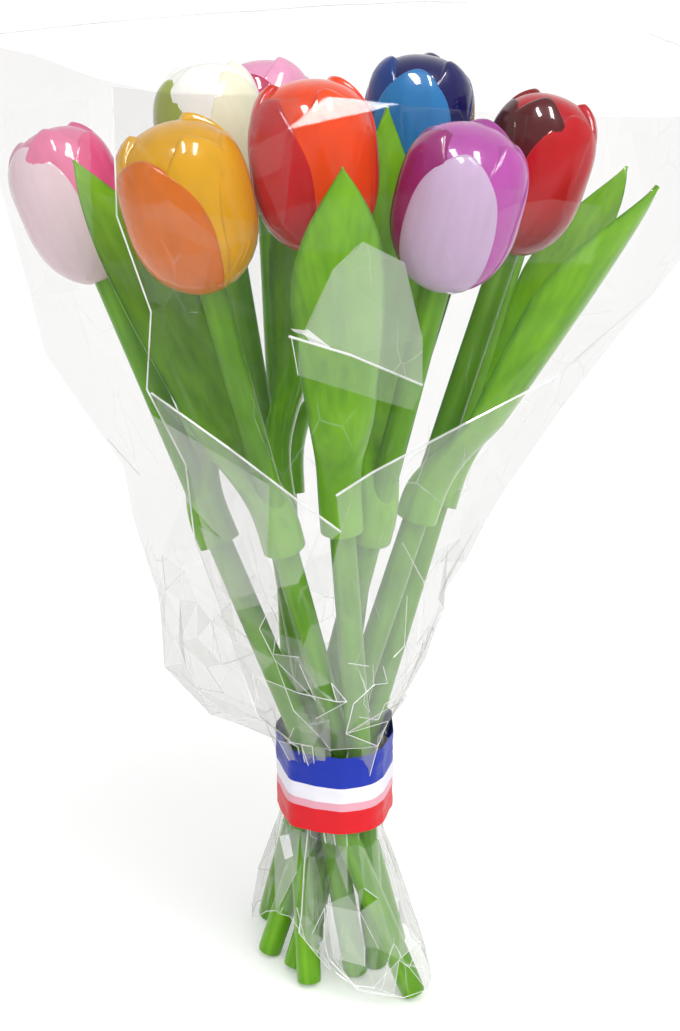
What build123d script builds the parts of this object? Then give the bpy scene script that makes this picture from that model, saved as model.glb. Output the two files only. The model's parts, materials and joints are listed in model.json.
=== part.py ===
from build123d import *
from math import cos, hypot, radians, sin
import os

# A bunch of nine painted wooden tulips, tied at the waist and dressed in a clear wrap.
# It stands on the square-cut feet of its stems: origin on the floor under the bunch, +Z up.

# Driving sizes, in millimetres.
tulip_length = 340
head_diameter = 40.5
head_height = 58
petal_step = 0.9
stem_diameter = 9
socket_depth = 14
socket_gap = 0.05

leaf_length = 146
leaf_width = 31
leaf_thickness = 3.4
leaf_height = 182
collar_diameter = 15
neck_length = 46
neck_tail = 6
neck_gap = 0.08
cup_radius = 19
hollow_radius = 24

grip_height = 80
stem_pitch = 9.5
ribbon_height = 30
ribbon_thickness = 0.7
tie_height = 12
tie_thickness = 0.5
film_thickness = 0.5
layer_gap = 0.25
film_flare = 40
loop_sides = 24

# Angles, in degrees.
leaf_lean = 17
neck_slant = 62

# Each tulip: its place in the grip as shares of the stem pitch, its lean as shares of its
# rise, the share of the head size, and the ways its front petal and its leaf face.
tulips = {
    "pink": ((-0.46, -1.50), (-0.42, 0.17), 0.98, -50, 45),
    "yellow": ((0.44, -0.51), (-0.23, -0.21), 1.03, -50, 142),
    "white": ((-0.57, -0.44), (-0.16, 0.09), 0.95, -72, 330),
    "crimson": ((-1.47, 0.15), (-0.05, 0.25), 0.95, -20, 10),
    "orange": ((0.97, -1.36), (-0.07, -0.11), 1.02, -54, 282),
    "blue": ((-0.02, 1.60), (0.12, 0.02), 0.95, -20, 68),
    "lilac": ((-0.94, 1.24), (0.22, -0.25), 1.02, -12, 122),
    "red": ((-0.12, 0.48), (0.31, 0.01), 0.96, 32, 320),
    "gold": ((0.92, 1.19), (0.31, 0.25), 0.94, 0, 44),
}

# Half profile of a head and half outline of its outer petals: width and height shares.
head_shares = [(0.44, 0), (0.97, 0.30), (1, 0.68), (0.68, 0.94), (0, 1)]
petal_shares = [(0.36, 0), (0.80, 0.25), (0.66, 0.66), (0, 0.88)]
# Half outline of a leaf, from its collar to its tip.
leaf_shares = [(0.46, 0), (0.86, 0.30), (1, 0.54), (0.76, 0.79), (0, 1)]

# Clear wrap from its hem to its mouth: height as a share of the tulips, how far it stands off
# the stems on its wide and its narrow side, as shares of its flare, and where its wide side is.
film_shares = [
    (0.006, 0.10, 0.10, 0),
    (0.34, 0.10, 0.66, 20),
    (0.44, 0.13, 0.60, 20),
    (0.55, 0.43, 0.35, 20),
    (0.65, 0.78, 0.47, 20),
    (0.75, 1.12, 0.50, 20),
    (0.80, 1.36, 0.50, 22),
    (0.85, 1.36, 0.47, 15),
    (0.90, 1.30, 0.40, 5),
    (0.94, 1.12, 0.20, -35),
    (1, 0.80, -0.20, -40),
]
# A slanted stem cuts a level a little wider than its diameter.
stem_slant_share = 1.1


def stem_plane(grip, lean):
    """Plane across a stem at its foot, the lowest rim of the foot on the floor."""
    run = Vector(lean[0], lean[1], 1).normalized()
    rim = stem_diameter / 2 * hypot(run.X, run.Y)
    middle = Vector(grip[0] * stem_pitch, grip[1] * stem_pitch, grip_height)
    foot = middle - run * ((grip_height - rim) / run.Z)
    return Plane(origin=foot, x_dir=(1, 0, 0), z_dir=run)


def facing(plane, turn, height=0):
    """The plane moved up its own axis and turned to face one way."""
    return Plane(plane.location * Pos(0, 0, height) * Rot(0, 0, turn))


def upright(plane):
    """The plane that stands on the given one and looks along its X."""
    return Plane(origin=plane.origin, x_dir=plane.y_dir, z_dir=plane.x_dir)


def side(plane):
    """The plane that stands on the given one with its X outward."""
    return Plane(origin=plane.origin, x_dir=plane.x_dir, z_dir=-plane.y_dir)


def make_body(plane, radius, height):
    """Turned body of a head, or of the petals laid round it."""
    with BuildPart() as body:
        with BuildSketch(side(plane)):
            with BuildLine():
                Polyline((0, 0), *[(x * radius, y * height) for x, y in head_shares], (0, 0))
            make_face()
        revolve(axis=Axis(plane.origin, plane.z_dir))
    return body.part


def make_petals(plane, radius, height, turn):
    """Three outer petals with arched tops, a step proud of the head."""
    outline = [(x * radius, y * height) for x, y in petal_shares]
    mirror = [(-x, y) for x, y in reversed(outline[:-1])]
    with BuildPart() as petals:
        for third in range(3):
            with BuildSketch(upright(facing(plane, turn + third * 360 / 3))):
                with BuildLine():
                    Polyline(*outline, *mirror, close=True)
                make_face()
            extrude(amount=2 * radius)
        add(make_body(plane, radius, height), mode=Mode.INTERSECT)
    return petals.part


def make_head(plane, size, turn):
    """Closed tulip head: a turned core, outer petals and the socket for its stem."""
    radius = head_diameter * size / 2
    petals = make_petals(plane, radius, head_height, turn)
    with BuildPart() as head:
        add(make_body(plane, radius - petal_step, head_height - petal_step))
        add(petals)
        with BuildSketch(plane):
            Circle(stem_diameter / 2 + socket_gap)
        extrude(amount=socket_depth, mode=Mode.SUBTRACT)
    return head.part


def make_stem(plane):
    """Round dowel from the floor to the bottom of the socket."""
    with BuildPart() as stem:
        with BuildSketch(plane):
            Circle(stem_diameter / 2)
        extrude(amount=tulip_length - head_height + socket_depth)
    return stem.part


def make_leaf(plane):
    """Leaf on its stem: a neck bored for the stem that runs out into a cupped blade."""
    radius = collar_diameter / 2
    lean = Plane(plane.location * Pos(radius, 0, 0) * Rot(0, leaf_lean, 0))
    outline = [(x * leaf_width / 2, y * leaf_length) for x, y in leaf_shares]
    mirror = [(-x, y) for x, y in reversed(outline[:-1])]
    with BuildPart() as blade:
        with BuildSketch(lean):
            with Locations((-cup_radius, 0)):
                Circle(cup_radius)
            with Locations((-leaf_thickness - hollow_radius, 0)):
                Circle(hollow_radius, mode=Mode.SUBTRACT)
            Rectangle(cup_radius, leaf_width, align=(Align.MAX, Align.CENTER), mode=Mode.INTERSECT)
        extrude(amount=leaf_length)
        with BuildSketch(upright(lean)):
            with BuildLine():
                Polyline(*outline, *mirror, close=True)
            make_face()
        extrude(amount=leaf_width, both=True, mode=Mode.INTERSECT)
    with BuildPart() as leaf:
        with BuildSketch(lean.offset(-neck_tail)):
            with Locations((-radius, 0)):
                Circle(radius)
        extrude(amount=neck_tail + neck_length)
        split(bisect_by=Plane(lean.location * Pos(0, 0, neck_length) * Rot(0, -neck_slant, 0)), keep=Keep.BOTTOM)
        add(blade)
        split(bisect_by=plane, keep=Keep.TOP)
        with BuildSketch(plane):
            Circle(stem_diameter / 2 + neck_gap)
        extrude(amount=leaf_length, mode=Mode.SUBTRACT)
    return leaf.part


def ring_round_stems(planes, heights, wide, narrow, turn):
    """Corners of a loop that clears all the stems at these heights, and more on one side."""
    middles = []
    for plane in planes:
        for height in heights:
            middles.append(plane.origin + plane.z_dir * ((height - plane.origin.Z) / plane.z_dir.Z))
    reaches = []
    for side_number in range(loop_sides):
        angle = radians(side_number * 360 / loop_sides)
        way = Vector(cos(angle), sin(angle))
        margin = wide + (narrow - wide) * (1 - cos(angle - radians(turn))) / 2
        far = max(middle.dot(way) for middle in middles)
        reaches.append((way, far + stem_diameter / 2 * stem_slant_share + margin))
    corners = []
    for (way, far), (next_way, next_far) in zip(reaches, reaches[1:] + reaches[:1]):
        bend = way.cross(next_way).Z
        across = (far * next_way.Y - next_far * way.Y) / bend
        along = (next_far * way.X - far * next_way.X) / bend
        corners.append((across, along))
    return corners


def make_loft(planes, levels, extra):
    with BuildPart() as body:
        for height, wide, narrow, turn in levels:
            with BuildSketch(Plane.XY.offset(height)):
                Polygon(*ring_round_stems(planes, [height], wide + extra, narrow + extra, turn), align=None)
        loft(ruled=True)
    return body.part


def make_sleeve(planes, levels, thickness):
    """Thin loop open at both ends that closes round the stems at every level."""
    with BuildPart() as sleeve:
        add(make_loft(planes, levels, thickness))
        add(make_loft(planes, levels, 0), mode=Mode.SUBTRACT)
    return sleeve.part


def make_band(planes, ends, margin, thickness):
    """Straight band pulled tight over the stems between two heights."""
    with BuildPart() as band:
        with BuildSketch(Plane.XY.offset(ends[0])):
            outer = margin + thickness
            Polygon(*ring_round_stems(planes, ends, outer, outer, 0), align=None)
            Polygon(*ring_round_stems(planes, ends, margin, margin, 0), align=None, mode=Mode.SUBTRACT)
        extrude(amount=ends[1] - ends[0])
    return band.part


os.makedirs("parts", exist_ok=True)
planes = {name: stem_plane(grip, lean) for name, (grip, lean, *_) in tulips.items()}

for name, (grip, lean, size, petal_turn, leaf_turn) in tulips.items():
    stem = make_stem(planes[name])
    stem.label = f"{name}_stem"
    export_step(stem, f"parts/{stem.label}.step")

    head = make_head(planes[name].offset(tulip_length - head_height), size, petal_turn - 90)
    head.label = f"{name}_head"
    export_step(head, f"parts/{head.label}.step")

    leaf = make_leaf(facing(planes[name], leaf_turn, leaf_height))
    leaf.label = f"{name}_leaf"
    export_step(leaf, f"parts/{leaf.label}.step")

stems = list(planes.values())
tie_ends = [grip_height - tie_height / 2, grip_height + tie_height / 2]
ribbon_ends = [grip_height - ribbon_height / 2, grip_height + ribbon_height / 2]
film_levels = [
    (tulip_length * rise, film_flare * wide + layer_gap, film_flare * narrow + layer_gap, turn)
    for rise, wide, narrow, turn in film_shares
]
film_levels += [(height, layer_gap, layer_gap, 0) for height in tie_ends + ribbon_ends]
film = make_sleeve(stems, sorted(film_levels), film_thickness)
film.label = "film_wrap"
export_step(film, "parts/film_wrap.step")

tie_margin = 2 * layer_gap + film_thickness
tie = make_band(stems, tie_ends, tie_margin, tie_thickness)
tie.label = "inner_tie"
export_step(tie, "parts/inner_tie.step")

ribbon_margin = tie_margin + tie_thickness + layer_gap
ribbon = make_band(stems, ribbon_ends, ribbon_margin, ribbon_thickness)
ribbon.label = "ribbon_band"
export_step(ribbon, "parts/ribbon_band.step")
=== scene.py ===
import bpy
import json
import random
from types import SimpleNamespace
from math import atan2, copysign, cos, degrees, pi, radians, sin
from mathutils import Matrix, Vector, noise
from mathutils.bvhtree import BVHTree
from mathutils.geometry import delaunay_2d_cdt


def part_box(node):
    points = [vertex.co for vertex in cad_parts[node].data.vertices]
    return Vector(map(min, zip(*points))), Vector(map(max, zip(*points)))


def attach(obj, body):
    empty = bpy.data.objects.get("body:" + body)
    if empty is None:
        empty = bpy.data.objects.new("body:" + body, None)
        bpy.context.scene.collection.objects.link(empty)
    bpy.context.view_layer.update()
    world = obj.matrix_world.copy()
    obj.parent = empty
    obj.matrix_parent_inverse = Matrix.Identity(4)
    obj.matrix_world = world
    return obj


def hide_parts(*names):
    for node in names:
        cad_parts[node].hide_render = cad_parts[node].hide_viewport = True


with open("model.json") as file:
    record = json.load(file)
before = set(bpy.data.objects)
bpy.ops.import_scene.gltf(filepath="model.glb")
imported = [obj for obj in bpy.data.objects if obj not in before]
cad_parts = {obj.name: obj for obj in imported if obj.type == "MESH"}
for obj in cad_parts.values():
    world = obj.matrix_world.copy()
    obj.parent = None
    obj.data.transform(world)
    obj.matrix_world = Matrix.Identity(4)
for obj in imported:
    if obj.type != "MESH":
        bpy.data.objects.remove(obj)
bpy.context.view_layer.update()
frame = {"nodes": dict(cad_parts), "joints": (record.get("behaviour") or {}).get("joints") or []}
nodes = frame["nodes"]
leafJoints = {joint["child"]: joint for joint in frame["joints"]}
print("frame loaded:", len(nodes), "nodes")

# The photograph's camera: focal length and size in pixels, place in metres.
photo = SimpleNamespace(
    focal=2200,
    wide=680,
    high=1031,
    lookDown=19.16,
    at=(0.001358, -0.731949, 0.432138),
)

# Helpers for colours, meshes and places.


def levels(code):
    return [int(code[i:i + 2], 16) for i in (1, 3, 5)]


def colour(code):
    # sRGB hex code to the linear values that the shaders use
    parts = [level / 255 for level in levels(code)]
    return [c / 12.92 if c <= 0.04045 else ((c + 0.055) / 1.055) ** 2.4 for c in parts] + [1.0]


def grey(level):
    return (level, level, level, 1)


def smooth(t):
    t = min(1.0, max(0.0, t))
    return t * t * (3 - 2 * t)


def eased(value, band):
    # from 0 to 1 over a band, given as where it begins and how long it is
    return smooth((value - band[0]) / band[1])


def seedOf(name, span):
    return sum(ord(letter) for letter in name) % span


def heading(angle):
    # the way that an angle in degrees points, seen from above
    turned = radians(angle)
    return cos(turned), sin(turned)


def ringFaces(rings, columns, start=0, closed=True):
    # four-sided faces between rings, or open rows, of points that follow one another
    faces = []
    for ring in range(rings - 1):
        first = start + ring * columns
        for column in range(columns if closed else columns - 1):
            after = (column + 1) % columns
            faces.append((first + column, first + after, first + columns + after, first + columns + column))
    return faces


def newObject(name, data):
    made = bpy.data.objects.new(name, data)
    bpy.context.scene.collection.objects.link(made)
    return made


def meshPiece(name, verts, faces, body, materials, faceMaterials=None, flat=False, place=None):
    mesh = bpy.data.meshes.new(name)
    mesh.from_pydata([tuple(v) for v in verts], [], faces)
    mesh.validate()
    for material in materials:
        mesh.materials.append(material)
    if faceMaterials:
        for polygon, slot in zip(mesh.polygons, faceMaterials):
            polygon.material_index = slot
    for polygon in mesh.polygons:
        polygon.use_smooth = not flat
    piece = newObject(name, mesh)
    if place is not None:
        piece.matrix_world = place
    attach(piece, body)
    return piece


def storeValues(piece, name, domain, values):
    # values on points or faces that a material reads by name
    stored = piece.data.attributes.new(name, "FLOAT", domain)
    stored.data.foreach_set("value", values)


def stemAxis(name):
    # the point on the stem's axis at its leaf's height, and the way the axis runs
    joint = leafJoints[name + "_leaf"]
    return Vector(joint["pos_m"]), Vector(joint["axis"]).normalized()


def reachAlong(node, point, axis):
    along = [(v.co - point).dot(axis) for v in nodes[node].data.vertices]
    return min(along), max(along)


def standingFrame(origin, axis, way=Vector((1, 0, 0))):
    across = (way - axis * way.dot(axis)).normalized()
    back = axis.cross(across)
    return Matrix((
        (across.x, back.x, axis.x, origin.x),
        (across.y, back.y, axis.y, origin.y),
        (across.z, back.z, axis.z, origin.z),
        (0, 0, 0, 1),
    ))


# Helpers for materials.


def newMaterial(name):
    material = bpy.data.materials.new(name)
    material.use_nodes = True
    tree = material.node_tree
    return material, tree, tree.nodes["Principled BSDF"], tree.nodes["Material Output"]


def assign(node, **values):
    # another node's socket is linked, any other value is set
    for key, value in values.items():
        socket = node.inputs[key.replace("_", " ")]
        if isinstance(value, bpy.types.NodeSocket):
            node.id_data.links.new(value, socket)
        else:
            socket.default_value = value


def add(tree, kind, **values):
    node = tree.nodes.new("ShaderNode" + kind)
    for key, value in values.items():
        if hasattr(node, key):
            setattr(node, key, value)
        else:
            assign(node, **{key: value})
    return node


def noiseOf(tree, place, scale, detail, roughness=0.5):
    node = add(tree, "TexNoise", Vector=place, Scale=scale, Detail=detail, Roughness=roughness)
    return node.outputs["Fac"]


def bumpOf(tree, height, strength, distance):
    return add(tree, "Bump", Height=height, Strength=strength, Distance=distance).outputs["Normal"]


def ranged(tree, source, before, after=(0.0, 1.0)):
    # a value spread from one range over another
    node = add(tree, "MapRange", Value=source, From_Min=before[0], From_Max=before[1])
    assign(node, To_Min=after[0], To_Max=after[1])
    return node.outputs["Result"]


def reckon(tree, operation, *sources, clamp=False):
    # a sum whose terms are sockets or plain numbers
    node = add(tree, "Math", operation=operation, use_clamp=clamp)
    for socket, source in zip(node.inputs, sources):
        if isinstance(source, float):
            socket.default_value = source
        else:
            tree.links.new(source, socket)
    return node.outputs["Value"]


def mixShaders(tree, share, first, second):
    node = add(tree, "MixShader", Fac=share)
    tree.links.new(first, node.inputs[1])
    tree.links.new(second, node.inputs[2])
    return node.outputs["Shader"]


def directRays(tree):
    # 1 for rays from the camera, off a gloss or through glass, which see plain white
    rays = add(tree, "LightPath")
    either = reckon(tree, "MAXIMUM", rays.outputs["Is Camera Ray"], rays.outputs["Is Glossy Ray"])
    return reckon(tree, "MAXIMUM", either, rays.outputs["Is Transmission Ray"])


# Painted wood: brushed paint under clear lacquer, with painted shade along the edges.

paint = SimpleNamespace(
    # a noise is its scale, its detail and its roughness, and a bump its strength and its depth
    streakScale=260.0,  # brush hairs across a petal, per metre
    streakStretch=0.07,  # smaller makes longer strokes
    streakNoise=(1.0, 5.0, 0.62),
    streakBump=(0.55, 0.00012),
    streakRange=(0.72, 1.18),  # where brush marks begin and where they are fullest
    washNoise=(38.0, 3.0),  # broad uneven patches
    washShare=0.9,
    paintRoughness=0.34,
    paintShine=0.05,
    coatNoise=(95.0, 2.0, 0.4),  # slow ripples in the lacquer
    coatBump=(0.35, 0.00025),
    coatRoughness=0.035,
    coatIor=1.28,
    darkest=0.78,  # how dark the second tone of a strong paint is
    paleLift=0.15,  # how much less a pale paint darkens
)


def paintedWood(name, light, dark, streaks=0.42, rimShade=0.35):
    material, tree, shader, _ = newMaterial(name)
    place = add(tree, "TexCoord").outputs["Object"]
    across = paint.streakScale
    along = across * paint.streakStretch
    stretch = add(tree, "Mapping", Vector=place, Scale=(across, across, along))
    hairs = noiseOf(tree, stretch.outputs["Vector"], *paint.streakNoise)
    washes = noiseOf(tree, place, *paint.washNoise)
    marks = reckon(tree, "MULTIPLY_ADD", washes, paint.washShare, hairs)
    brushed = ranged(tree, marks, paint.streakRange, (0.0, streaks))
    # painted shade: the rim value darkens the paint at petal and leaf edges and between petals
    rim = add(tree, "Attribute", attribute_name="rim").outputs["Fac"]
    brushAndEdgeShade = reckon(tree, "MULTIPLY_ADD", rim, rimShade, brushed, clamp=True)
    tint = add(tree, "Mix", data_type="RGBA")
    assign(tint, A=colour(light), B=colour(dark), Factor=brushAndEdgeShade)
    ripple = noiseOf(tree, place, *paint.coatNoise)
    assign(shader, Base_Color=tint.outputs["Result"])
    assign(shader, Normal=bumpOf(tree, hairs, *paint.streakBump))
    assign(shader, Coat_Normal=bumpOf(tree, ripple, *paint.coatBump))
    assign(shader, Roughness=paint.paintRoughness, Specular_IOR_Level=paint.paintShine)
    assign(shader, Coat_Weight=1.0, Coat_Roughness=paint.coatRoughness)
    assign(shader, Coat_IOR=paint.coatIor)
    return material


paintStock = {}


def shaded(code):
    # the darker tone of a paint, for brush marks and painted edge shade; pale paints darken less
    parts = levels(code)
    factor = paint.darkest + paint.paleLift * min(parts) / 255
    return "#" + "".join(f"{int(part * factor):02X}" for part in parts)


def paints(code):
    # one pot of paint for each colour, with its own darker tone for the brush marks
    if code not in paintStock:
        paintStock[code] = paintedWood("paint_" + code[1:], code, shaded(code))
    return paintStock[code]


# Tulip heads. A petal is the way it faces and its half width in degrees, the height of its tip as a
# share of the head, and its paint. The ways turn from the front to the right. slim and short make a
# head narrower or lower than its solid.
tulipLooks = {
    "pink": {
        "slim": 0.96,
        "outer": [(-42, 61, 0.955, "#F4D6E0"), (68, 58, 0.90, "#F0568F"), (186, 58, 0.90, "#DDA2BA")],
        "inner": [(5, 57, 0.99, "#F27BA8"), (124, 57, 0.98, "#EB5C97"), (246, 57, 0.985, "#E8A6C0")],
    },
    "yellow": {
        "outer": [(-34, 62, 0.925, "#FA7E06"), (88, 58, 0.91, "#FFB808"), (205, 58, 0.90, "#FFB90C")],
        "inner": [(32, 57, 0.985, "#FFBC08"), (150, 57, 0.99, "#FFC225"), (268, 57, 0.98, "#FFC01C")],
    },
    "white": {
        "outer": [(-60, 47, 0.95, "#A6B450"), (44, 46, 0.95, "#FBFADC"), (160, 58, 0.90, "#F3F2D0")],
        "inner": [(-10, 57, 0.99, "#FFFFFA"), (110, 57, 0.98, "#FBFAEC"), (230, 57, 0.985, "#FAFAF0")],
    },
    "crimson": {
        "outer": [(-20, 56, 0.90, "#C4325F"), (100, 56, 0.90, "#E69AC3"), (220, 58, 0.90, "#B52A52")],
        "inner": [(40, 57, 0.99, "#EFA3C6"), (160, 57, 0.98, "#E6A0C4"), (280, 57, 0.985, "#C8305C")],
    },
    "orange": {
        "outer": [(-56, 59, 0.955, "#D30D12"), (126, 58, 0.92, "#EE2C18"), (206, 40, 0.88, "#D8140F")],
        "inner": [(28, 57, 0.99, "#FF4C12"), (140, 57, 0.97, "#FF4A14"), (258, 57, 0.98, "#E8240F")],
    },
    "blue": {
        "outer": [(-10, 50, 0.945, "#2F7FC0"), (108, 58, 0.92, "#1D2670"), (228, 58, 0.91, "#20307F")],
        "inner": [(48, 57, 0.985, "#1B1C5C"), (168, 57, 0.99, "#1A1A52"), (-72, 57, 0.97, "#1F3E86")],
    },
    "lilac": {
        "outer": [(-12, 48, 0.945, "#DABCE0"), (112, 58, 0.91, "#C654B6"), (218, 52, 0.90, "#8E2262")],
        "inner": [(52, 57, 0.985, "#C858B8"), (160, 57, 0.98, "#B548A6"), (-66, 57, 0.985, "#A52C7E")],
    },
    "red": {
        "slim": 0.96,
        "outer": [(34, 60, 0.95, "#CC0A16"), (160, 58, 0.90, "#A01018"), (-82, 56, 0.92, "#551318")],
        "inner": [(100, 57, 0.99, "#C81222"), (218, 57, 0.98, "#8E1218"), (-22, 57, 0.985, "#5C1016")],
    },
    "gold": {
        "slim": 0.93, "short": 0.95,
        "outer": [(0, 56, 0.88, "#F2C021"), (120, 56, 0.90, "#E8A81A"), (240, 56, 0.89, "#F2C021")],
        "inner": [(60, 57, 0.99, "#F5D050"), (180, 57, 0.98, "#F0BE30"), (300, 57, 0.985, "#F5D050")],
    },
}

head = SimpleNamespace(
    ends=3.0,  # higher is squarer at the crown and the base
    belly=1.15,  # above 1 the widest place stands above the middle
    round=2.2,
    slopeStep=0.002,  # share of the height over which the slope is measured
    rows=40,
    columns=72,
    bodyShade=0.6,  # how much painted shade darkens the body between the petals
)
# how far a petal stands proud, each later one less, how far its tip stands up, how blunt it is
layers = {
    "outer": {"step": 0.00060, "later": 0.00006, "crown": 0.0003, "point": 2.1},
    "inner": {"step": 0.00018, "later": 0, "crown": 0.0019, "point": 2.0},
}
petals = SimpleNamespace(
    taperFrom=0.32,  # share of a petal's height at which it starts to narrow
    taperSpan=0.68,
    taper=2.9,
    foot=(1.03, 0.05, 0.5),  # width at the foot, what it loses going up, and over how much height
    wander=1.6,  # how unevenly an outline runs, in degrees
    wanderScale=3.1,
    edgeDrop=1.6,  # how far an edge sinks, as a share of the petal's step
    edgeBand=(0.95, 0.05),  # where it sinks, and where the crown rises and painted shade darkens the rim
    crownBand=(0.72, 0.25),
    shadeBand=(0.90, 0.1),
    carving=0.00022,  # depth of the knife marks
    carvingSize=(16, 4),
    columns=96,
    baseColumns=16,
    base=0.002,  # share of the head's height at which petals begin
    rings=[0.18, 0.36, 0.52, 0.66, 0.78, 0.87, 0.93, 0.955, 0.97, 0.98, 0.99, 1.0],
)


def bellyShare(share):
    share = min(1.0, max(0.0, share))
    fromMiddle = abs(2 * share ** head.belly - 1)
    return max(0.0, 1 - fromMiddle ** head.ends) ** (1 / head.round)


def onHead(angle, share, lift, radius, height):
    step = head.slopeStep
    slope = (bellyShare(share + step) - bellyShare(share - step)) / (2 * step) * radius
    out = Vector((height, -slope)).normalized()
    reach = bellyShare(share) * radius + lift * out.x
    turned = radians(angle)
    return Vector((reach * sin(turned), -reach * cos(turned), share * height + lift * out.y))


def petalOutline(halfWidth, tip, point, seed):
    # right-hand half from the base to the tip, then the left-hand half back down, then the base
    half = []
    footWidth, footLoss, footRise = petals.foot
    count = petals.columns // 2
    for k in range(count + 1):
        rise = sin(pi / 2 * k / count)
        tapered = max(0.0, (rise - petals.taperFrom) / petals.taperSpan)
        narrow = max(0.0, 1 - tapered ** petals.taper) ** (1 / point)
        low = footWidth - footLoss * smooth(rise / footRise)
        half.append((halfWidth * narrow * low, tip * rise))
    outline = []
    for side, run in ((1, half), (-1, list(reversed(half))[1:])):
        for angle, share in run:
            shake = petals.wander * noise.noise(Vector((share * petals.wanderScale, side * 2.0, seed)))
            outline.append((side * angle + shake, max(petals.base, share)))
    for k in range(1, petals.baseColumns):
        outline.append((half[0][0] * (k / (petals.baseColumns / 2) - 1), petals.base))
    return outline


def addPetal(parts, slot, petal, shape, turn, size, seed):
    centre, halfWidth, tip, _ = petal
    verts, faces, slots, edgeShades = parts
    step = shape["step"] - shape["later"] * turn
    outline = petalOutline(halfWidth, tip, shape["point"], seed)
    start = len(verts)
    middle = 0.5 * tip
    count = len(outline)
    steps = petals.rings
    wide, tall = petals.carvingSize

    def lifted(angle, share, ring):
        sunk = 1 - petals.edgeDrop * eased(ring, petals.edgeBand)
        risen = eased(share / tip, petals.crownBand)
        proud = shape["crown"] * risen * smooth(1 - abs(angle) / halfWidth)
        carved = petals.carving * noise.noise(Vector((angle / wide, share * tall, seed + 7)))
        return onHead(centre + angle, share, (step + carved) * sunk + proud * max(0.0, sunk), *size)

    verts.append(lifted(0.0, middle, 0))
    edgeShades.append(0.0)
    for ring in steps:
        for angle, share in outline:
            verts.append(lifted(angle * ring, middle + (share - middle) * ring, ring))
            # painted shade, darker towards the petal's rim
            edgeShades.append(eased(ring, petals.shadeBand))
    for k in range(count):
        faces.append((start, start + 1 + k, start + 1 + (k + 1) % count))
    faces += [(a, d, c, b) for a, b, c, d in ringFaces(len(steps), count, start + 1)]
    slots += [slot] * (len(faces) - len(slots))


def turnedBody(radius, height):
    # closed body that the petals lie on: its points, faces, paints and painted shade values
    rows = head.rows
    columns = head.columns
    verts = [onHead(0, 0, 0, radius, height)]
    for row in range(1, rows):
        share = (1 - cos(pi * row / rows)) / 2
        for column in range(columns):
            verts.append(onHead(360 * column / columns, share, 0, radius, height))
    verts.append(onHead(0, 1, 0, radius, height))
    faces = []
    last = len(verts) - 1
    for column in range(columns):
        after = (column + 1) % columns
        faces.append((0, 1 + after, 1 + column))
        faces.append((last, last - columns + column, last - columns + after))
    faces += ringFaces(rows - 1, columns, 1)
    return verts, faces, [0] * len(faces), [head.bodyShade] * len(verts)


def makeHead(name, look):
    point, axis = stemAxis(name)
    node = name + "_head"
    low, high = reachAlong(node, point, axis)
    offsets = [v.co - point for v in nodes[node].data.vertices]
    radius = max((offset - axis * offset.dot(axis)).length for offset in offsets)
    radius *= look.get("slim", 1)
    height = (high - low) * look.get("short", 1)
    place = standingFrame(point + axis * low, axis)
    seed = seedOf(name, 97)
    size = (radius - layers["outer"]["step"], height - layers["inner"]["crown"])
    parts = turnedBody(*size)
    for layer, slot, start in (("inner", 1, seed), ("outer", 4, seed + 20)):
        for k, petal in enumerate(look[layer]):
            addPetal(parts, slot + k, petal, layers[layer], k, size, start + k * 3.3)

    materials = [paints(look["inner"][0][3])]
    materials += [paints(petal[3]) for petal in look["inner"] + look["outer"]]
    verts, faces, slots, edgeShades = parts
    piece = meshPiece(name + "_tulip", verts, faces, "bunch", materials, slots, place=place)
    # painted shade on the petal rims and between the petals
    storeValues(piece, "rim", "POINT", edgeShades)
    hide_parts(node)


for name, look in tulipLooks.items():
    makeHead(name, look)
print("heads carved")

# Stems and leaves.

greenLook = {
    "stem": {"light": "#79B81E", "dark": "#47820F", "streaks": 0.8, "rimShade": 0.3},
    "leaf": {"light": "#86C81E", "dark": "#3F7E0E", "streaks": 0.55, "rimShade": 0.5},
}
stemGreen = paintedWood("stem_green", **greenLook["stem"])
leafGreen = paintedWood("leaf_green", **greenLook["leaf"])

stem = SimpleNamespace(
    radius=0.0045,
    foot=[(0, 0.0007), (0.0004, 0.0002), (0.0010, 0)],  # heights, and what is taken off the radius
    shaftFrom=0.004,
    wobble=0.00008,
    rows=40,
    columns=32,
)


def makeStem(name):
    point, axis = stemAxis(name)
    node = name + "_stem"
    low, high = reachAlong(node, point, axis)
    shaft = high - low - stem.shaftFrom
    rows = stem.rows
    columns = stem.columns
    seed = seedOf(name, 89)
    rings = [(0, 0)] + [(height, stem.radius - less) for height, less in stem.foot]
    rings += [(stem.shaftFrom + shaft * k / rows, stem.radius) for k in range(rows + 1)]
    verts = []
    for height, width in rings:
        for column in range(columns):
            turned = 2 * pi * column / columns
            x = cos(turned)
            y = sin(turned)
            wobble = stem.wobble * noise.noise(Vector((x, y, height * 40 + seed)))
            verts.append(Vector(((width + wobble) * x, (width + wobble) * y, height)))
    place = standingFrame(point + axis * low, axis)
    faces = ringFaces(len(rings), columns)
    piece = meshPiece(name + "_dowel", verts, faces, "bunch", [stemGreen], place=place)
    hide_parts(node)


leaf = SimpleNamespace(
    collar=0.0075,  # radius of the collar
    inset=0.0021,  # how far inside the collar's rim the blade begins
    rootRise=0.002,
    neck=(0.006, 0.040),  # where the neck starts to turn into the blade, and over how much height
    blade=0.0155,  # half width of the blade
    thickness=0.0034,
    thinning=(0.55, 0.45, 0.35),  # share left at the tip, what it gains, and over how much length
    edgeThin=0.35,  # how much thinner it gets towards an edge
    bulge=0.75,  # below 1 the faces are flatter
    cup=0.0072,  # how deep the blade is hollowed
    widest=0.63,  # share of the blade's length
    swell=1.3,
    tipCurve=2.1,
    shadeBand=(0.86, 0.14),  # where painted shade darkens an edge
    rowSpread=1.25,
    lean=17,
    narrower={"lilac": 0.90},  # this leaf turns close past the orange head
    narrowOver=0.5,
    least=0.0004,  # half width at the tip
    edgeRound=0.0004,
    rows=64,
    columns=56,
)


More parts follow.
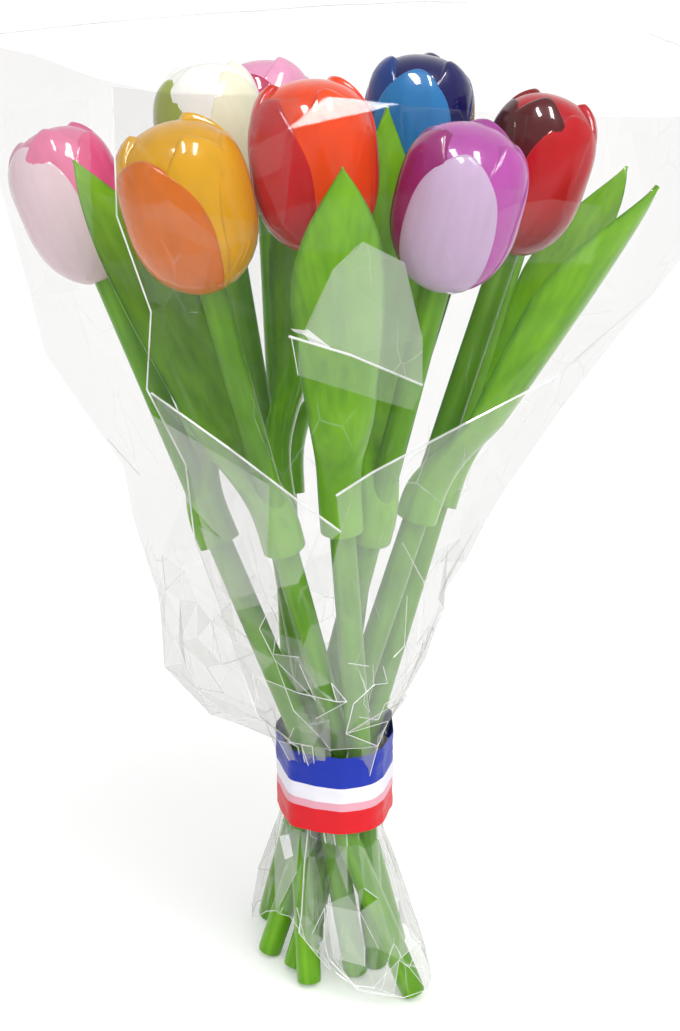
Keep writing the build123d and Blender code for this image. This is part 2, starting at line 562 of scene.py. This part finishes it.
def bladeWidth(name, along):
    widest = leaf.widest
    if along < widest:
        rise = along / widest
        ease = 0.5 * smooth(rise) + 0.5 * rise ** leaf.swell
        width = leaf.collar + (leaf.blade - leaf.collar) * ease
    else:
        width = leaf.blade * (1 - ((along - widest) / (1 - widest)) ** leaf.tipCurve)
    narrower = leaf.narrower.get(name, 1)
    return max(width, leaf.least) * (1 - (1 - narrower) * smooth(along / leaf.narrowOver))


def makeLeaf(name):
    point, axis = stemAxis(name)
    node = name + "_leaf"
    low, high = reachAlong(node, point, axis)
    tip = max((v.co for v in nodes[node].data.vertices), key=lambda co: (co - point).dot(axis))
    out = ((tip - point) - axis * (tip - point).dot(axis))
    reach = out.length
    out.normalize()
    length = high - low
    lean = radians(leaf.lean)
    tipShare, fullShare, thinOver = leaf.thinning
    rows = leaf.rows
    columns = leaf.columns
    # the blade's middle line leaves the collar's outer side and runs straight to the tip
    startOut = leaf.collar - leaf.inset
    startUp = leaf.rootRise
    verts = []
    edgeShades = []
    for row in range(rows + 1):
        share = 1 - (1 - row / rows) ** leaf.rowSpread
        up = startUp + (length - startUp) * share if row else 0.0
        along = max(0.0, (up - startUp) / (length - startUp))
        middleOut = startOut + (reach - startOut) * along
        width = bladeWidth(name, along)
        blade = eased(up, leaf.neck)
        thick = leaf.thickness * (tipShare + fullShare * smooth((1 - along) / thinOver))
        cup = leaf.cup * (width / leaf.blade) ** 2
        for column in range(columns):
            turned = 2 * pi * column / columns
            across = abs(sin(turned))
            bulge = copysign(abs(cos(turned)) ** leaf.bulge, cos(turned))
            normal = thick / 2 * bulge * (1 - leaf.edgeThin * across ** 3) - cup * across ** 2
            onCollar = (leaf.collar * cos(turned), leaf.collar * sin(turned), up)
            side = width * sin(turned)
            onBlade = (middleOut + normal * cos(lean), side, up - normal * sin(lean))
            x, y, z = (a * (1 - blade) + b * blade for a, b in zip(onCollar, onBlade))
            verts.append(Vector((x, y, min(z, length))))
            # painted shade, darker towards both edges of the blade
            edgeShades.append(eased(across, leaf.shadeBand) * blade)
    faces = ringFaces(rows + 1, columns)
    faces.append(tuple(reversed(range(columns))))
    faces.append(tuple(rows * columns + k for k in range(columns)))
    place = standingFrame(point + axis * low, axis, out)
    piece = meshPiece(name + "_blade", verts, faces, node, [leafGreen], place=place)
    storeValues(piece, "rim", "POINT", edgeShades)
    bevel = piece.modifiers.new("edge", "BEVEL")
    bevel.width = leaf.edgeRound
    bevel.segments = 2
    bevel.limit_method = "ANGLE"
    bevel.angle_limit = radians(50)
    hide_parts(node)


for name in tulipLooks:
    makeStem(name)
    makeLeaf(name)
print("stems and leaves made")

# Clear wrap, tape and ribbon: what they follow.


def solidTree(node):
    mesh = nodes[node].data
    faces = [tuple(polygon.vertices) for polygon in mesh.polygons]
    return BVHTree.FromPolygons([v.co.copy() for v in mesh.vertices], faces)


def bunchMiddle(height):
    total = Vector((0, 0, 0))
    for name in tulipLooks:
        point, axis = stemAxis(name)
        total += point + axis * ((height - point.z) / axis.z)
    total /= len(tulipLooks)
    return Vector((total.x, total.y, height))


def wallReach(tree, height, angle):
    hit = tree.ray_cast(bunchMiddle(height), Vector((*heading(angle), 0)), 0.5)
    return hit[3] if hit[3] is not None else 0.02


def wallPoint(height, angle, reach):
    return bunchMiddle(height) + Vector((*heading(angle), 0)) * reach


def cameraAxes():
    tilt = radians(photo.lookDown)
    return Vector((0, cos(tilt), -sin(tilt))), Vector((0, sin(tilt), cos(tilt)))


def cameraRay(pixel):
    ahead, upward = cameraAxes()
    across = (pixel[0] - photo.wide / 2) / photo.focal
    down = (pixel[1] - photo.high / 2) / photo.focal
    return Vector(photo.at), (ahead + Vector((1, 0, 0)) * across - upward * down).normalized()


def pixelOf(at):
    ahead, upward = cameraAxes()
    away = at - Vector(photo.at)
    depth = away.dot(ahead.normalized())
    return (photo.wide / 2 + photo.focal * away.x / depth,
            photo.high / 2 - photo.focal * away.dot(upward) / depth)


def onWall(tree, pixel):
    # the nearest place of the wrap that this pixel of the photograph looks at
    start, way = cameraRay(pixel)
    hit = tree.ray_cast(start, way, 3)[0]
    if hit is None:
        hit = tree.find_nearest(start + way * 0.78)[0]
    middle = bunchMiddle(hit.z)
    return degrees(atan2(hit.y - middle.y, hit.x - middle.x)) % 360, hit.z


def inside(point, corners):
    crossings = 0
    for (ax, ay), (bx, by) in zip(corners, corners[1:] + corners[:1]):
        if (ay > point[1]) != (by > point[1]) and point[0] < (bx - ax) * (point[1] - ay) / (by - ay) + ax:
            crossings += 1
    return crossings % 2 == 1


# The sheet is laid out flat, in degrees from its free edge and heights, cut into panels and folded.

wrap = SimpleNamespace(
    overlap=30,  # how far the sheet laps over itself, in degrees
    perDegree=0.0010,  # width of a degree in the flat layout
    tight=(0.060, 0.099),  # heights between which tape and ribbon hold it
    # height of the rim by the way it faces: right, back, left, front
    rim=[
        (0, 0.318), (55, 0.346), (90, 0.346), (180, 0.341),
        (225, 0.340), (270, 0.338), (315, 0.330), (360, 0.318)],
    hemFront=0.0045,
    hemLeft=0.026,
    hemLeftWay=215,
    hemWave=0.003,
    hemPull=0.0034,  # how much closer to the stems the skirt hangs than the solid
    lowest=0.0012,
    measured=(0.0021, 0.3395),  # heights between which the solid's wall is measured
    edgeColumns=34,  # points along the hem and along the rim
    edgeRows=[0.03, 0.05, 0.062, 0.08, 0.097, 0.12, 0.15, 0.18, 0.21, 0.24, 0.27, 0.30],
    rows=[
        0.016, 0.032, 0.048, 0.060, 0.080, 0.099, 0.110, 0.124,
        0.140, 0.157, 0.180, 0.206, 0.236, 0.268, 0.300],
    pleatsBelow=0.16,  # under this height the panels are narrow
    pleats={"count": 40, "apart": 0.0045, "shift": 0},
    panels={"count": 22, "apart": 0.011, "shift": 0.38},
    rowShift=0.008,
    edgeAt=(0.01, 0.33),  # heights whose free edge the hem and the rim start from
    fromEdge=0.6,  # degrees that inner points keep from the free edge
    backTo=357,  # degrees past which a place counts as on the free edge
    fromRim=0.004,
    longestTie=0.12,
    puff=0.0042,  # how far its folds stand out
    foldPuff=0.9,
    pleatPuff=0.0012,
    pleatPuffBelow=0.135,
    puffRise=0.03,  # height over which folds grow out of the held part
    skirtShare=0.35,  # how much of that they grow in the skirt
    lift=0.0004,
    lapLift=0.0010,
    clearance=0.0002,  # what the panels keep from the solid when they are pushed out
    pushRounds=5,
    pushShare=0.6,
    pushStep=0.0010,
    mostPush=0.004,
    heldMargin=0.001,
    reflectionHaze=0.012,
    crumple=0.26,  # how much painted reflection makes single panels milky near the waist and in the skirt
    crumpleTop=0.19,
    crumpleFade=0.07,
    creaseChance={"low": 0.5, "drop": 0.44, "fade": (0.11, 0.08)},
    foldAngle=17,  # a bend sharper than this shows as a bright line
    foldsBelow=0.27,
    longestFold=0.035,
    beads={"edge": 0.00034, "rim": 0.00020, "hem": 0.00016, "fold": 0.00042, "crease": 0.00009},
    creaseGrowth=0.000002,
)
# Pixels of the photograph: the sheet's free edge and the folds that show as bright lines.
freeEdge = [
    (127, 100), (128, 190), (133, 270), (147, 297), (195, 322),
    (160, 388), (180, 440), (200, 530), (215, 590), (262, 700),
]
brightFolds = {
    "shoulder": [(293, 330), (350, 352), (418, 382)],
    "hip": [(336, 492), (370, 469), (460, 420), (549, 373)],
    "lap": [(162, 390), (235, 445), (307, 501), (340, 528)],
    "foot": [(330, 962), (360, 992), (395, 997)],
}
# Painted reflections on the sheet, as milky veils, some where it is doubled, and as painted glints: how
# milky they are and the pixels of their corners.
paintedReflections = {
    "hip": (0.20, [
        (336, 492), (370, 469), (460, 420), (549, 373), (500, 455),
        (441, 545), (436, 610), (400, 690), (345, 730), (322, 620)]),
    "lap": (0.22, [(162, 390), (235, 445), (307, 501), (340, 528), (300, 580), (222, 600), (186, 470)]),
    "leafFront": (0.27, [(333, 268), (362, 240), (404, 262), (418, 382), (350, 352), (300, 332)]),
    "leafMiddle": (0.12, [(300, 332), (350, 352), (418, 382), (412, 410), (300, 372)]),
    "yellowCheek": (0.03, [(134, 222), (176, 196), (232, 246), (222, 284), (160, 300)]),
    "redFoot": (0.02, [(268, 214), (318, 196), (372, 214), (352, 252), (290, 250)]),
    "redCheek": (0.03, [(252, 146), (288, 128), (282, 168), (258, 178)]),
    "maroonFoot": (0.05, [(486, 214), (540, 196), (590, 204), (588, 262), (494, 262)]),
    "purpleCheek": (0.02, [(452, 186), (516, 186), (512, 262), (486, 290), (470, 240)]),
    "gather": (0.08, [
        (262, 700), (300, 690), (352, 700), (398, 690),
        (398, 728), (372, 742), (330, 750), (290, 744)]),
    "shoulderGlint": (0.85, [(293, 325), (306, 327), (330, 344), (312, 343), (304, 334), (294, 333)]),
    "skirtGlint": (0.80, [(279, 836), (289, 834), (293, 856), (284, 860)]),
    "skirtLeft": (0.30, [(270, 832), (300, 830), (296, 872), (276, 905)]),
    "skirtMiddle": (0.42, [(326, 905), (360, 912), (366, 968), (334, 962)]),
    "skirtRight": (0.16, [(372, 845), (398, 850), (402, 962), (380, 950)]),
    "pinkVeil": (0.08, [(14, 110), (100, 96), (106, 190), (108, 262), (84, 290), (34, 300)]),
}
foil = SimpleNamespace(
    clear=(0.912, 0.909, 0.906, 1),
    milk=0.93,
    glossLevel=0.45,
    glossRoughness=0.07,
    mostGloss=0.045,
    ior=1.30,
    crinkleNoise=(45.0, 3.0),
    crinkleBump=(0.18, 0.0008),
    creaseScale=52.0,
    creaseStretch=0.34,  # below 1 the fine creases run up and down
    creaseBend=0.004,
    creaseWidth=0.014,
    creaseNoise=(26.0, 2.0),  # breaks the creases up
    creaseRange=(0.50, 0.66),
    creaseMost=0.55,
    waistHeights=(0.10, 0.27),  # the fine creases fade between these heights
    mouthShare=0.12,
    foldNoise=(60.0, 2.0),  # makes the bright folds patchy
    foldRange=(0.35, 0.65),
    foldAlpha=(0.35, 0.85),
    # white of the painted glint on folds, creases and edges
    foldGlintLevel=0.97,
    foldRoughness=0.12,
)


def clearFilm():
    material, tree, shader, output = newMaterial("clear_film")
    tree.nodes.remove(shader)
    clear = add(tree, "BsdfTransparent", Color=foil.clear)
    # white diffuse for the painted reflection on milky panels and for the whitening of fine creases
    milk = add(tree, "BsdfDiffuse", Color=grey(foil.milk))
    fresnel = add(tree, "Fresnel", IOR=foil.ior)
    place = add(tree, "TexCoord").outputs["Object"]
    crinkle = noiseOf(tree, place, *foil.crinkleNoise)
    gloss = add(tree, "BsdfGlossy", Color=grey(foil.glossLevel))
    assign(gloss, Roughness=foil.glossRoughness)
    assign(gloss, Normal=bumpOf(tree, crinkle, *foil.crinkleBump))
    gain = reckon(tree, "MINIMUM", fresnel.outputs["Fac"], foil.mostGloss, clamp=True)
    glossy = mixShaders(tree, gain, clear.outputs["BSDF"], gloss.outputs["BSDF"])
    # fine white crease lines, stronger towards the waist
    warp = add(tree, "VectorMath", operation="MULTIPLY_ADD")
    tree.links.new(crinkle.node.outputs["Color"], warp.inputs[0])
    warp.inputs[1].default_value = [foil.creaseBend] * 3
    tree.links.new(place, warp.inputs[2])
    tall = add(tree, "Mapping", Vector=warp.outputs["Vector"])
    assign(tall, Scale=(1.0, 1.0, foil.creaseStretch))
    cracks = add(tree, "TexVoronoi", feature="DISTANCE_TO_EDGE", Vector=tall.outputs["Vector"])
    assign(cracks, Scale=foil.creaseScale)
    thin = ranged(tree, cracks.outputs["Distance"], (0.0, foil.creaseWidth), (1.0, 0.0))
    broken = noiseOf(tree, place, *foil.creaseNoise)
    some = ranged(tree, broken, foil.creaseRange, (0.0, foil.creaseMost))
    rise = add(tree, "SeparateXYZ", Vector=place).outputs["Z"]
    waist = ranged(tree, rise, foil.waistHeights, (1.0, foil.mouthShare))
    lines = reckon(tree, "MULTIPLY", thin, reckon(tree, "MULTIPLY", some, waist))
    # painted reflection on each panel
    reflectionHaze = add(tree, "Attribute", attribute_name="reflectionHaze").outputs["Fac"]
    total = reckon(tree, "ADD", lines, reflectionHaze, clamp=True)
    assign(output, Surface=mixShaders(tree, total, glossy, milk.outputs["BSDF"]))
    return material


def foldGlint():
    # white beads that paint a glint along folds, creases and the sheet's edges
    material, tree, shader, _ = newMaterial("film_fold_glint")
    place = add(tree, "TexCoord").outputs["Object"]
    patchy = noiseOf(tree, place, *foil.foldNoise)
    assign(shader, Alpha=ranged(tree, patchy, foil.foldRange, foil.foldAlpha))
    assign(shader, Base_Color=grey(foil.foldGlintLevel), Roughness=foil.foldRoughness)
    return material


def between(table, at):
    # the value at a place between the rows of a table
    if at <= table[0][0]:
        return table[0][1]
    for (low, first), (high, second) in zip(table, table[1:]):
        if at <= high:
            return first + (second - first) * (at - low) / (high - low)
    return table[-1][1]


def edgeWay(guide, height):
    # the way that the free edge faces at this height
    return between(guide["edge"], height)


def reachAt(guide, height, angle):
    key = (round(height, 4), round(angle % 360, 1))
    if key not in guide["reaches"]:
        low, high = wrap.measured
        guide["reaches"][key] = wallReach(guide["tree"], min(high, max(low, key[0])), key[1])
    return guide["reaches"][key]


def rimHeight(angle):
    return between(wrap.rim, angle % 360)


def hemHeight(angle):
    left = max(0.0, cos(radians(angle - wrap.hemLeftWay))) ** 2
    x, y = heading(angle)
    wave = wrap.hemWave * abs(noise.noise(Vector((x * 3, y * 3, 9))))
    return wrap.hemFront + (wrap.hemLeft - wrap.hemFront) * left + wave


def pullAt(height):
    lowTight = wrap.tight[0]
    return wrap.hemPull * smooth((lowTight - height) / lowTight)


def onSheet(guide, pixel):
    # degrees from the free edge, and the height, of the place that a pixel of the photograph looks at
    angle, height = onWall(guide["tree"], pixel)
    across = (angle - edgeWay(guide, height)) % 360
    return across, min(height, rimHeight(angle) - wrap.fromRim)


def layOut(guide, rng):
    # the flat layout's points, the ties between them, and the points whose puff is set
    perDegree = wrap.perDegree
    fromEdge = wrap.fromEdge
    sweep = 360 + wrap.overlap
    columns = wrap.edgeColumns
    flat = []
    puffs = {}

    def put(across, height, puff=None):
        flat.append(Vector((across * perDegree, height)))
        if puff is not None:
            puffs[len(flat) - 1] = puff
        return len(flat) - 1

    def marked(pixels, puff=None):
        made = []
        for across, height in (onSheet(guide, pixel) for pixel in pixels):
            made.append(put(fromEdge if across > wrap.backTo else max(fromEdge, across), height, puff))
        return made

    def tied(pairs):
        # no tie runs the long way round the sheet
        return [(a, b) for a, b in pairs if abs(flat[a].x - flat[b].x) < wrap.longestTie]

    across = [sweep * k / columns for k in range(columns + 1)]
    hem = [put(u, hemHeight(edgeWay(guide, wrap.edgeAt[0]) + u)) for u in across]
    border = hem + [put(sweep, height) for height in wrap.edgeRows]
    rim = [put(u, rimHeight(edgeWay(guide, wrap.edgeAt[1]) + u)) for u in reversed(across)]
    border += rim + [put(0, height) for height in reversed(wrap.edgeRows)]
    ties = list(zip(border, border[1:] + border[:1]))
    for pixels in brightFolds.values():
        made = marked(pixels, wrap.puff * wrap.foldPuff)
        ties += tied(zip(made, made[1:]))
    for _, corners in paintedReflections.values():
        made = marked(corners)
        ties += tied(zip(made, made[1:] + made[:1]))

    lowTight, highTight = wrap.tight
    rowShift = wrap.rowShift
    for height in wrap.rows:
        panels = wrap.pleats if height < wrap.pleatsBelow else wrap.panels
        for k in range(panels["count"]):
            shift = rng.uniform(-panels["shift"], panels["shift"]) if panels["shift"] else 0
            u = sweep * (k + 0.5 + shift) / panels["count"]
            lift = 0 if lowTight <= height <= highTight else rng.uniform(-rowShift, rowShift)
            at = Vector((u * perDegree, height + lift))
            if min((at - other).length for other in flat) > panels["apart"]:
                put(u, height + lift)
    return {"flat": flat, "ties": ties, "puffs": puffs, "border": border, "hem": set(hem), "rim": set(rim)}


def cutPanels(layout):
    # the sheet's points, the layout's points that each comes from, and its triangles
    made = delaunay_2d_cdt(layout["flat"], layout["ties"], [], 1, 1e-6, True)
    points = made[0]
    outline = [(layout["flat"][k].x, layout["flat"][k].y) for k in layout["border"]]
    triangles = []
    for corners in made[2]:
        centre = sum((points[k] for k in corners), Vector((0, 0))) / 3
        if inside(centre, outline):
            triangles.append(corners)
    return points, made[3], triangles


def foldUp(guide, puffs, points, origins, rng):
    # way, height, reach and push of each point once the sheet is wrapped
    lowTight, highTight = wrap.tight
    wrapped = []
    for at, sources in zip(points, origins):
        across = at.x / wrap.perDegree
        height = at.y
        angle = edgeWay(guide, height) + across
        beyond = max((lowTight - height) * wrap.skirtShare, height - highTight)
        away = min(1.0, max(0.0, beyond) / wrap.puffRise)
        own = [puffs[k] for k in sources if k in puffs]
        wild = rng.random() ** 1.4 * wrap.puff
        puff = (own[0] if own else wild) * away
        if height < wrap.pleatPuffBelow and away > 0:
            puff += wrap.pleatPuff * away * (1 if rng.random() > 0.5 else 0)
        lapped = max(0.0, (across - 360) / wrap.overlap)
        layer = wrap.lift + wrap.lapLift * lapped * away
        reach = reachAt(guide, height, angle) + puff + layer - pullAt(height)
        wrapped.append([angle, height, reach, 0.0])
    return wrapped


def pushOut(guide, wrapped, triangles):
    # flat panels move out, in a few rounds, to clear the solid's wall
    heldFrom, heldTo = wrap.tight
    heldFrom -= wrap.heldMargin
    heldTo += wrap.heldMargin
    # the places tried on each panel, as shares of its corners
    samples = (
        (0.34, 0.33, 0.33), (0.5, 0.5, 0), (0, 0.5, 0.5),
        (0.5, 0, 0.5), (0.6, 0.2, 0.2), (0.2, 0.6, 0.2))
    for _ in range(wrap.pushRounds):
        for corners in triangles:
            spots = [wallPoint(wrapped[k][1], wrapped[k][0], wrapped[k][2]) for k in corners]
            for shares in samples:
                at = sum((spot * share for spot, share in zip(spots, shares)), Vector())
                middle = bunchMiddle(at.z)
                away = Vector((at.x - middle.x, at.y - middle.y))
                angle = degrees(atan2(away.y, away.x))
                short = reachAt(guide, at.z, angle) + wrap.clearance - pullAt(at.z) - away.length
                if short <= 0:
                    continue
                for k in corners:
                    if heldFrom <= wrapped[k][1] <= heldTo:
                        continue
                    pushed = min(wrap.pushStep, short * wrap.pushShare, wrap.mostPush - wrapped[k][3])
                    wrapped[k][2] += pushed
                    wrapped[k][3] += pushed


def reflectionHazeOf(verts, triangles, rng):
    # how much painted reflection makes each panel milky: a little by chance, more where the photograph
    # shows doubled film
    pixels = [pixelOf(at) for at in verts]
    reflectionHazes = []
    for corners in triangles:
        centre = (sum(pixels[k][0] for k in corners) / 3, sum(pixels[k][1] for k in corners) / 3)
        height = sum(verts[k].z for k in corners) / 3
        near = smooth((wrap.crumpleTop - height) / wrap.crumpleFade)
        crumpleReflection = wrap.crumple * rng.random() ** 2.2 * near
        reflectionHaze = wrap.reflectionHaze * rng.random() ** 2 + crumpleReflection
        if sum(verts[k].y - bunchMiddle(verts[k].z).y for k in corners) < 0:
            covering = [amount for amount, polygon in paintedReflections.values() if inside(centre, polygon)]
            reflectionHaze = max([reflectionHaze] + covering)
        reflectionHazes.append(reflectionHaze)
    return reflectionHazes


def tube(verts, faces, path, radius):
    # thin four-sided bead along an edge or a fold of the sheet, white as a painted glint
    start = len(verts)
    for k, at in enumerate(path):
        ahead = (path[min(k + 1, len(path) - 1)] - path[max(k - 1, 0)]).normalized()
        first = ahead.cross(Vector((at.x, at.y, 0)).normalized())
        second = ahead.cross(first.normalized())
        for turn in range(4):
            angle = pi / 2 * turn
            verts.append(at + (first.normalized() * cos(angle) + second * sin(angle)) * radius)
    faces += ringFaces(len(path), 4, start)


def addEdges(verts, faces, layout, points, origins):
    # painted glint beads along the free edge, the back of the rim and the hem
    behind = bunchMiddle(0.34).y
    edges = {"edge": [], "rim": [], "hem": []}
    for index, at in enumerate(points):
        if at.x < 1e-6:
            edges["edge"].append((at.y, index))
        if verts[index].y > behind and layout["rim"].intersection(origins[index]):
            edges["rim"].append((at.x, index))
        if layout["hem"].intersection(origins[index]):
            edges["hem"].append((at.x, index))
    for name, listed in edges.items():
        tube(verts, faces, [verts[index] for _, index in sorted(listed)], wrap.beads[name])


def nearestPoint(points, x, y):
    return min(range(len(points)), key=lambda k: (points[k].x - x) ** 2 + (points[k].y - y) ** 2)


def addBrightFolds(verts, faces, guide, points):
    for pixels in brightFolds.values():
        path = []
        for across, height in (onSheet(guide, pixel) for pixel in pixels):
            x = max(wrap.fromEdge, across) * wrap.perDegree
            path.append(verts[nearestPoint(points, x, height)])
        tube(verts, faces, path, wrap.beads["fold"])


def addCreases(verts, faces, triangles, rng):
    # bright lines on some of the sharp bends, fewer of them higher up
    chance = wrap.creaseChance
    shared = {}
    for corners in triangles:
        a, b, c = (verts[k] for k in corners)
        normal = (b - a).cross(c - a).normalized()
        for first, second in zip(corners, [*corners[1:], corners[0]]):
            shared.setdefault((min(first, second), max(first, second)), []).append(normal)
    for (a, b), normals in sorted(shared.items()):
        if len(normals) < 2:
            continue
        bend = degrees(normals[0].angle(normals[1], 0))
        height = (verts[a].z + verts[b].z) / 2
        share = chance["low"] - chance["drop"] * eased(height, chance["fade"])
        if bend <= wrap.foldAngle or rng.random() >= share or height >= wrap.foldsBelow:
            continue
        if (verts[a] - verts[b]).length < wrap.longestFold:
            radius = wrap.beads["crease"] + wrap.creaseGrowth * min(40, bend)
            tube(verts, faces, [verts[a], verts[b]], radius)


def makeFilm():
    rng = random.Random(5)
    tree = solidTree("film_wrap")
    edge = sorted((height, angle) for angle, height in (onWall(tree, pixel) for pixel in freeEdge))
    guide = {"tree": tree, "edge": edge, "reaches": {}}
    layout = layOut(guide, rng)
    points, origins, triangles = cutPanels(layout)
    wrapped = foldUp(guide, layout["puffs"], points, origins, rng)
    pushOut(guide, wrapped, triangles)
    verts = [wallPoint(height, angle, reach) for angle, height, reach, _ in wrapped]
    for at in verts:
        at.z = max(at.z, wrap.lowest)
    reflectionHazes = reflectionHazeOf(verts, triangles, rng)
    faces = [tuple(corners) for corners in triangles]
    addEdges(verts, faces, layout, points, origins)
    addBrightFolds(verts, faces, guide, points)
    addCreases(verts, faces, triangles, rng)
    beads = len(faces) - len(triangles)
    slots = [0] * len(triangles) + [1] * beads
    piece = meshPiece("film_sheet", verts, faces, "bunch", [clearFilm(), foldGlint()], slots, flat=True)
    storeValues(piece, "reflectionHaze", "FACE", reflectionHazes + [0.0] * beads)
    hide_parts("film_wrap")
    print("film panels", len(triangles))
    return piece


film = makeFilm()
print("film made")

ribbon = SimpleNamespace(
    # share of the ribbon's height at which each stripe begins, from the foot up
    stripes=[(0.0, "#DD1E28"), (0.30, "#E8A9B8"), (0.40, "#F0EDF7"), (0.60, "#2036AC")],
    roughness=0.38,
    shine=0.2,
    threads=900.0,
    threadBump=(0.2, 0.0001),
)
tape = {"Base_Color": (0.9, 0.92, 0.9, 1), "Roughness": 0.25}
bands = {
    "striped_band": {"node": "ribbon_band", "columns": 180, "rows": 26, "ripple": 0.0008},
    "tape_tie": {"node": "inner_tie", "columns": 120, "rows": 6, "ripple": 0.0},
}
bandLap = 1.02  # turns of the band round the stems
bandLift = 0.0004  # how far a band lies off the solid's inner wall


def stripedRibbon():
    material, tree, shader, _ = newMaterial("striped_ribbon")
    place = add(tree, "TexCoord").outputs["Object"]
    rise = add(tree, "SeparateXYZ", Vector=place).outputs["Z"]
    low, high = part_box("ribbon_band")
    ramp = add(tree, "ValToRGB", Fac=ranged(tree, rise, (low.z, high.z)))
    ramp.color_ramp.interpolation = "CONSTANT"
    while len(ramp.color_ramp.elements) < len(ribbon.stripes):
        ramp.color_ramp.elements.new(0.5)
    for element, (at, code) in zip(ramp.color_ramp.elements, ribbon.stripes):
        element.position = at
        element.color = colour(code)
    assign(shader, Base_Color=ramp.outputs["Color"])
    assign(shader, Roughness=ribbon.roughness, Specular_IOR_Level=ribbon.shine)
    weave = add(tree, "TexWave", Vector=place, Scale=ribbon.threads, Distortion=0.6)
    weave.bands_direction = "Z"
    assign(shader, Normal=bumpOf(tree, weave.outputs["Fac"], *ribbon.threadBump))
    return material


def clearTape():
    material, _, shader, _ = newMaterial("clear_tape")
    assign(shader, **tape)
    return material


def makeBand(name, material):
    look = bands[name]
    node = look["node"]
    rows = look["rows"]
    columns = look["columns"]
    tree = solidTree(node)
    low, high = (corner.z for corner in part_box(node))
    verts = []
    for row in range(rows + 1):
        height = low + (high - low) * row / rows
        sample = min(high - bandLift, max(low + bandLift, height))
        for column in range(columns + 1):
            angle = 360 * column / columns * bandLap
            reach = wallReach(tree, sample, angle) + bandLift
            x, y = heading(angle)
            fold = look["ripple"] * noise.noise(Vector((x * 1.7, y * 1.7, height * 260)))
            verts.append(wallPoint(height, angle, reach + abs(fold)))
    piece = meshPiece(name, verts, ringFaces(rows + 1, columns + 1, closed=False), "bunch", [material])
    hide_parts(node)


makeBand("striped_band", stripedRibbon())
makeBand("tape_tie", clearTape())
# A guess at the film's cut, as the scene's film is shaped: tapered, 735 mm round the mouth with 30 mm of
# overlap, 154 mm round the waist, rim to hem. A plain rectangle as wide as the mouth has too much area
# for this film, which holds too little of it at the waist.
print("wrap, tie and ribbon made")

# Floor, light and camera.

stage = SimpleNamespace(
    floorReach=6,
    floorLevel=0.93,
    floorRoughness=0.6,
    floorShine=0.2,
    floorGlow=0.22,  # keeps the floor white in the picture and lights nothing
    light=0.60,  # the world's light, and its strength where it is seen
    seen=1.0,
    sun={"power": 1.95, "angle": 60, "way": (-0.35, 0.75, -0.85)},
    windowSize=(0.17, 0.66),
    windowPower=32,
    windowAim=(0, 0, 0.30),
    windows={
        "windowLeft": {"at": (-0.20, -0.46, 1.34), "roll": 34},
        "windowRight": {"at": (0.44, -0.46, 1.32), "roll": -32},
    },
)


def whiteFloor():
    material, tree, shader, output = newMaterial("white_floor")
    assign(shader, Base_Color=grey(stage.floorLevel))
    assign(shader, Roughness=stage.floorRoughness, Specular_IOR_Level=stage.floorShine)
    glow = add(tree, "Emission", Strength=stage.floorGlow)
    dark = add(tree, "Emission", Strength=0.0)
    shown = mixShaders(tree, directRays(tree), dark.outputs["Emission"], glow.outputs["Emission"])
    both = add(tree, "AddShader")
    tree.links.new(shader.outputs["BSDF"], both.inputs[0])
    tree.links.new(shown, both.inputs[1])
    assign(output, Surface=both.outputs["Shader"])
    return material


def makeFloor():
    reach = stage.floorReach
    corners = [(-reach, -reach, 0), (reach, -reach, 0), (reach, reach, 0), (-reach, reach, 0)]
    mesh = bpy.data.meshes.new("floor")
    mesh.from_pydata(corners, [], [(0, 1, 2, 3)])
    mesh.materials.append(whiteFloor())
    newObject("floor", mesh)


def lightWorld():
    world = bpy.data.worlds.new("studio")
    bpy.context.scene.world = world
    world.use_nodes = True
    tree = world.node_tree
    light = tree.nodes["Background"]
    assign(light, Color=grey(1), Strength=stage.light)
    seen = add(tree, "Background", Color=grey(1), Strength=stage.seen)
    pick = mixShaders(tree, directRays(tree), light.outputs[0], seen.outputs[0])
    assign(tree.nodes["World Output"], Surface=pick)


def addLamp(name, kind, power):
    lamp = bpy.data.lights.new(name, kind)
    lamp.energy = power
    return lamp, newObject(name, lamp)


def addSun():
    sun = stage.sun
    lamp, holder = addLamp("key", "SUN", sun["power"])
    lamp.angle = radians(sun["angle"])
    holder.rotation_euler = Vector(sun["way"]).to_track_quat("-Z", "Y").to_euler()
    holder.visible_glossy = False


def addWindow(name, at, roll):
    # a tall lamp that only shows as a window's reflection in the lacquer
    lamp, holder = addLamp(name, "AREA", stage.windowPower)
    lamp.shape = "RECTANGLE"
    lamp.size, lamp.size_y = stage.windowSize
    turn = (Vector(stage.windowAim) - Vector(at)).to_track_quat("-Z", "Y").to_matrix().to_4x4()
    holder.matrix_world = Matrix.Translation(Vector(at)) @ turn @ Matrix.Rotation(radians(roll), 4, "Z")
    holder.visible_camera = False
    holder.visible_diffuse = False


def addCamera():
    data = bpy.data.cameras.new("camera")
    camera = newObject("camera", data)
    data.sensor_fit = "VERTICAL"
    data.lens = photo.focal * data.sensor_height / photo.high
    camera.location = photo.at
    camera.rotation_euler = (radians(90 - photo.lookDown), 0, 0)
    bpy.context.scene.camera = camera


makeFloor()
lightWorld()
addSun()
for name, window in stage.windows.items():
    addWindow(name, **window)
addCamera()
bpy.context.scene.view_settings.view_transform = "Standard"
print("stage lit")
